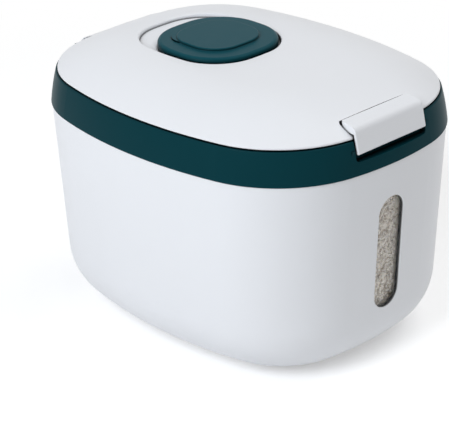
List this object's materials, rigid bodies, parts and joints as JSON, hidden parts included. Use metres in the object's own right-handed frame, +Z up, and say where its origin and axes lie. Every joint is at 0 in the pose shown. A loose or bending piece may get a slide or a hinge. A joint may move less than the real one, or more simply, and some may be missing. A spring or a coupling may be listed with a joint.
{
  "type": "rice storage bin",
  "caption": "Rounded kitchen bin for rice with a hinged crowned lid, a front flip latch, a level window and a flip-up cap over a freshness box in the lid.",
  "frame": {"origin": "middle of the floor that the bin stands on, under its feet", "axes": "+Z up, the latch and the window face -Y, the lid's hinge is at +Y, X runs across the bin"},
  "size_m": [0.24, 0.3, 0.2162],
  "materials": {
    "white_plastic": "satin moulded",
    "green_plastic": "semi-gloss moulded",
    "clear_plastic": "clear moulded",
    "clear_seal": "soft",
    "seal_rubber": "soft",
    "soft_rubber": "soft",
    "steel": "drawn wire"
  },
  "bodies": {
    "bin": {"tub": "white_plastic", "foot_pads": "soft_rubber", "window_pane": "clear_plastic", "window_gasket": "clear_seal", "collar": "green_plastic", "hinge_pin": "steel"},
    "lid": {"lid_shell": "white_plastic", "lid_liner": "white_plastic", "lid_seal": "seal_rubber", "liner_screws": "steel", "fresh_box": "green_plastic", "latch_pin": "steel", "cap_pin": "steel"},
    "latch": {"latch": "white_plastic"},
    "cap": {"cap": "green_plastic", "cap_seal": "seal_rubber"}
  },
  "joints": [
    {"name": "lid_hinge", "type": "hinge", "parent": "bin", "child": "lid", "pos_m": [0, 0.146, 0.1868], "axis": [-1, 0, 0], "range_deg": [0, 100]},
    {"name": "latch_hinge", "type": "hinge", "parent": "lid", "child": "latch", "pos_m": [0, -0.1294, 0.19878], "axis": [-1, 0, 0], "range_deg": [0, 50]},
    {"name": "cap_hinge", "type": "hinge", "parent": "lid", "child": "cap", "pos_m": [0, -0.00895, 0.2091], "axis": [1, 0, 0], "range_deg": [0, 60]}
  ]
}
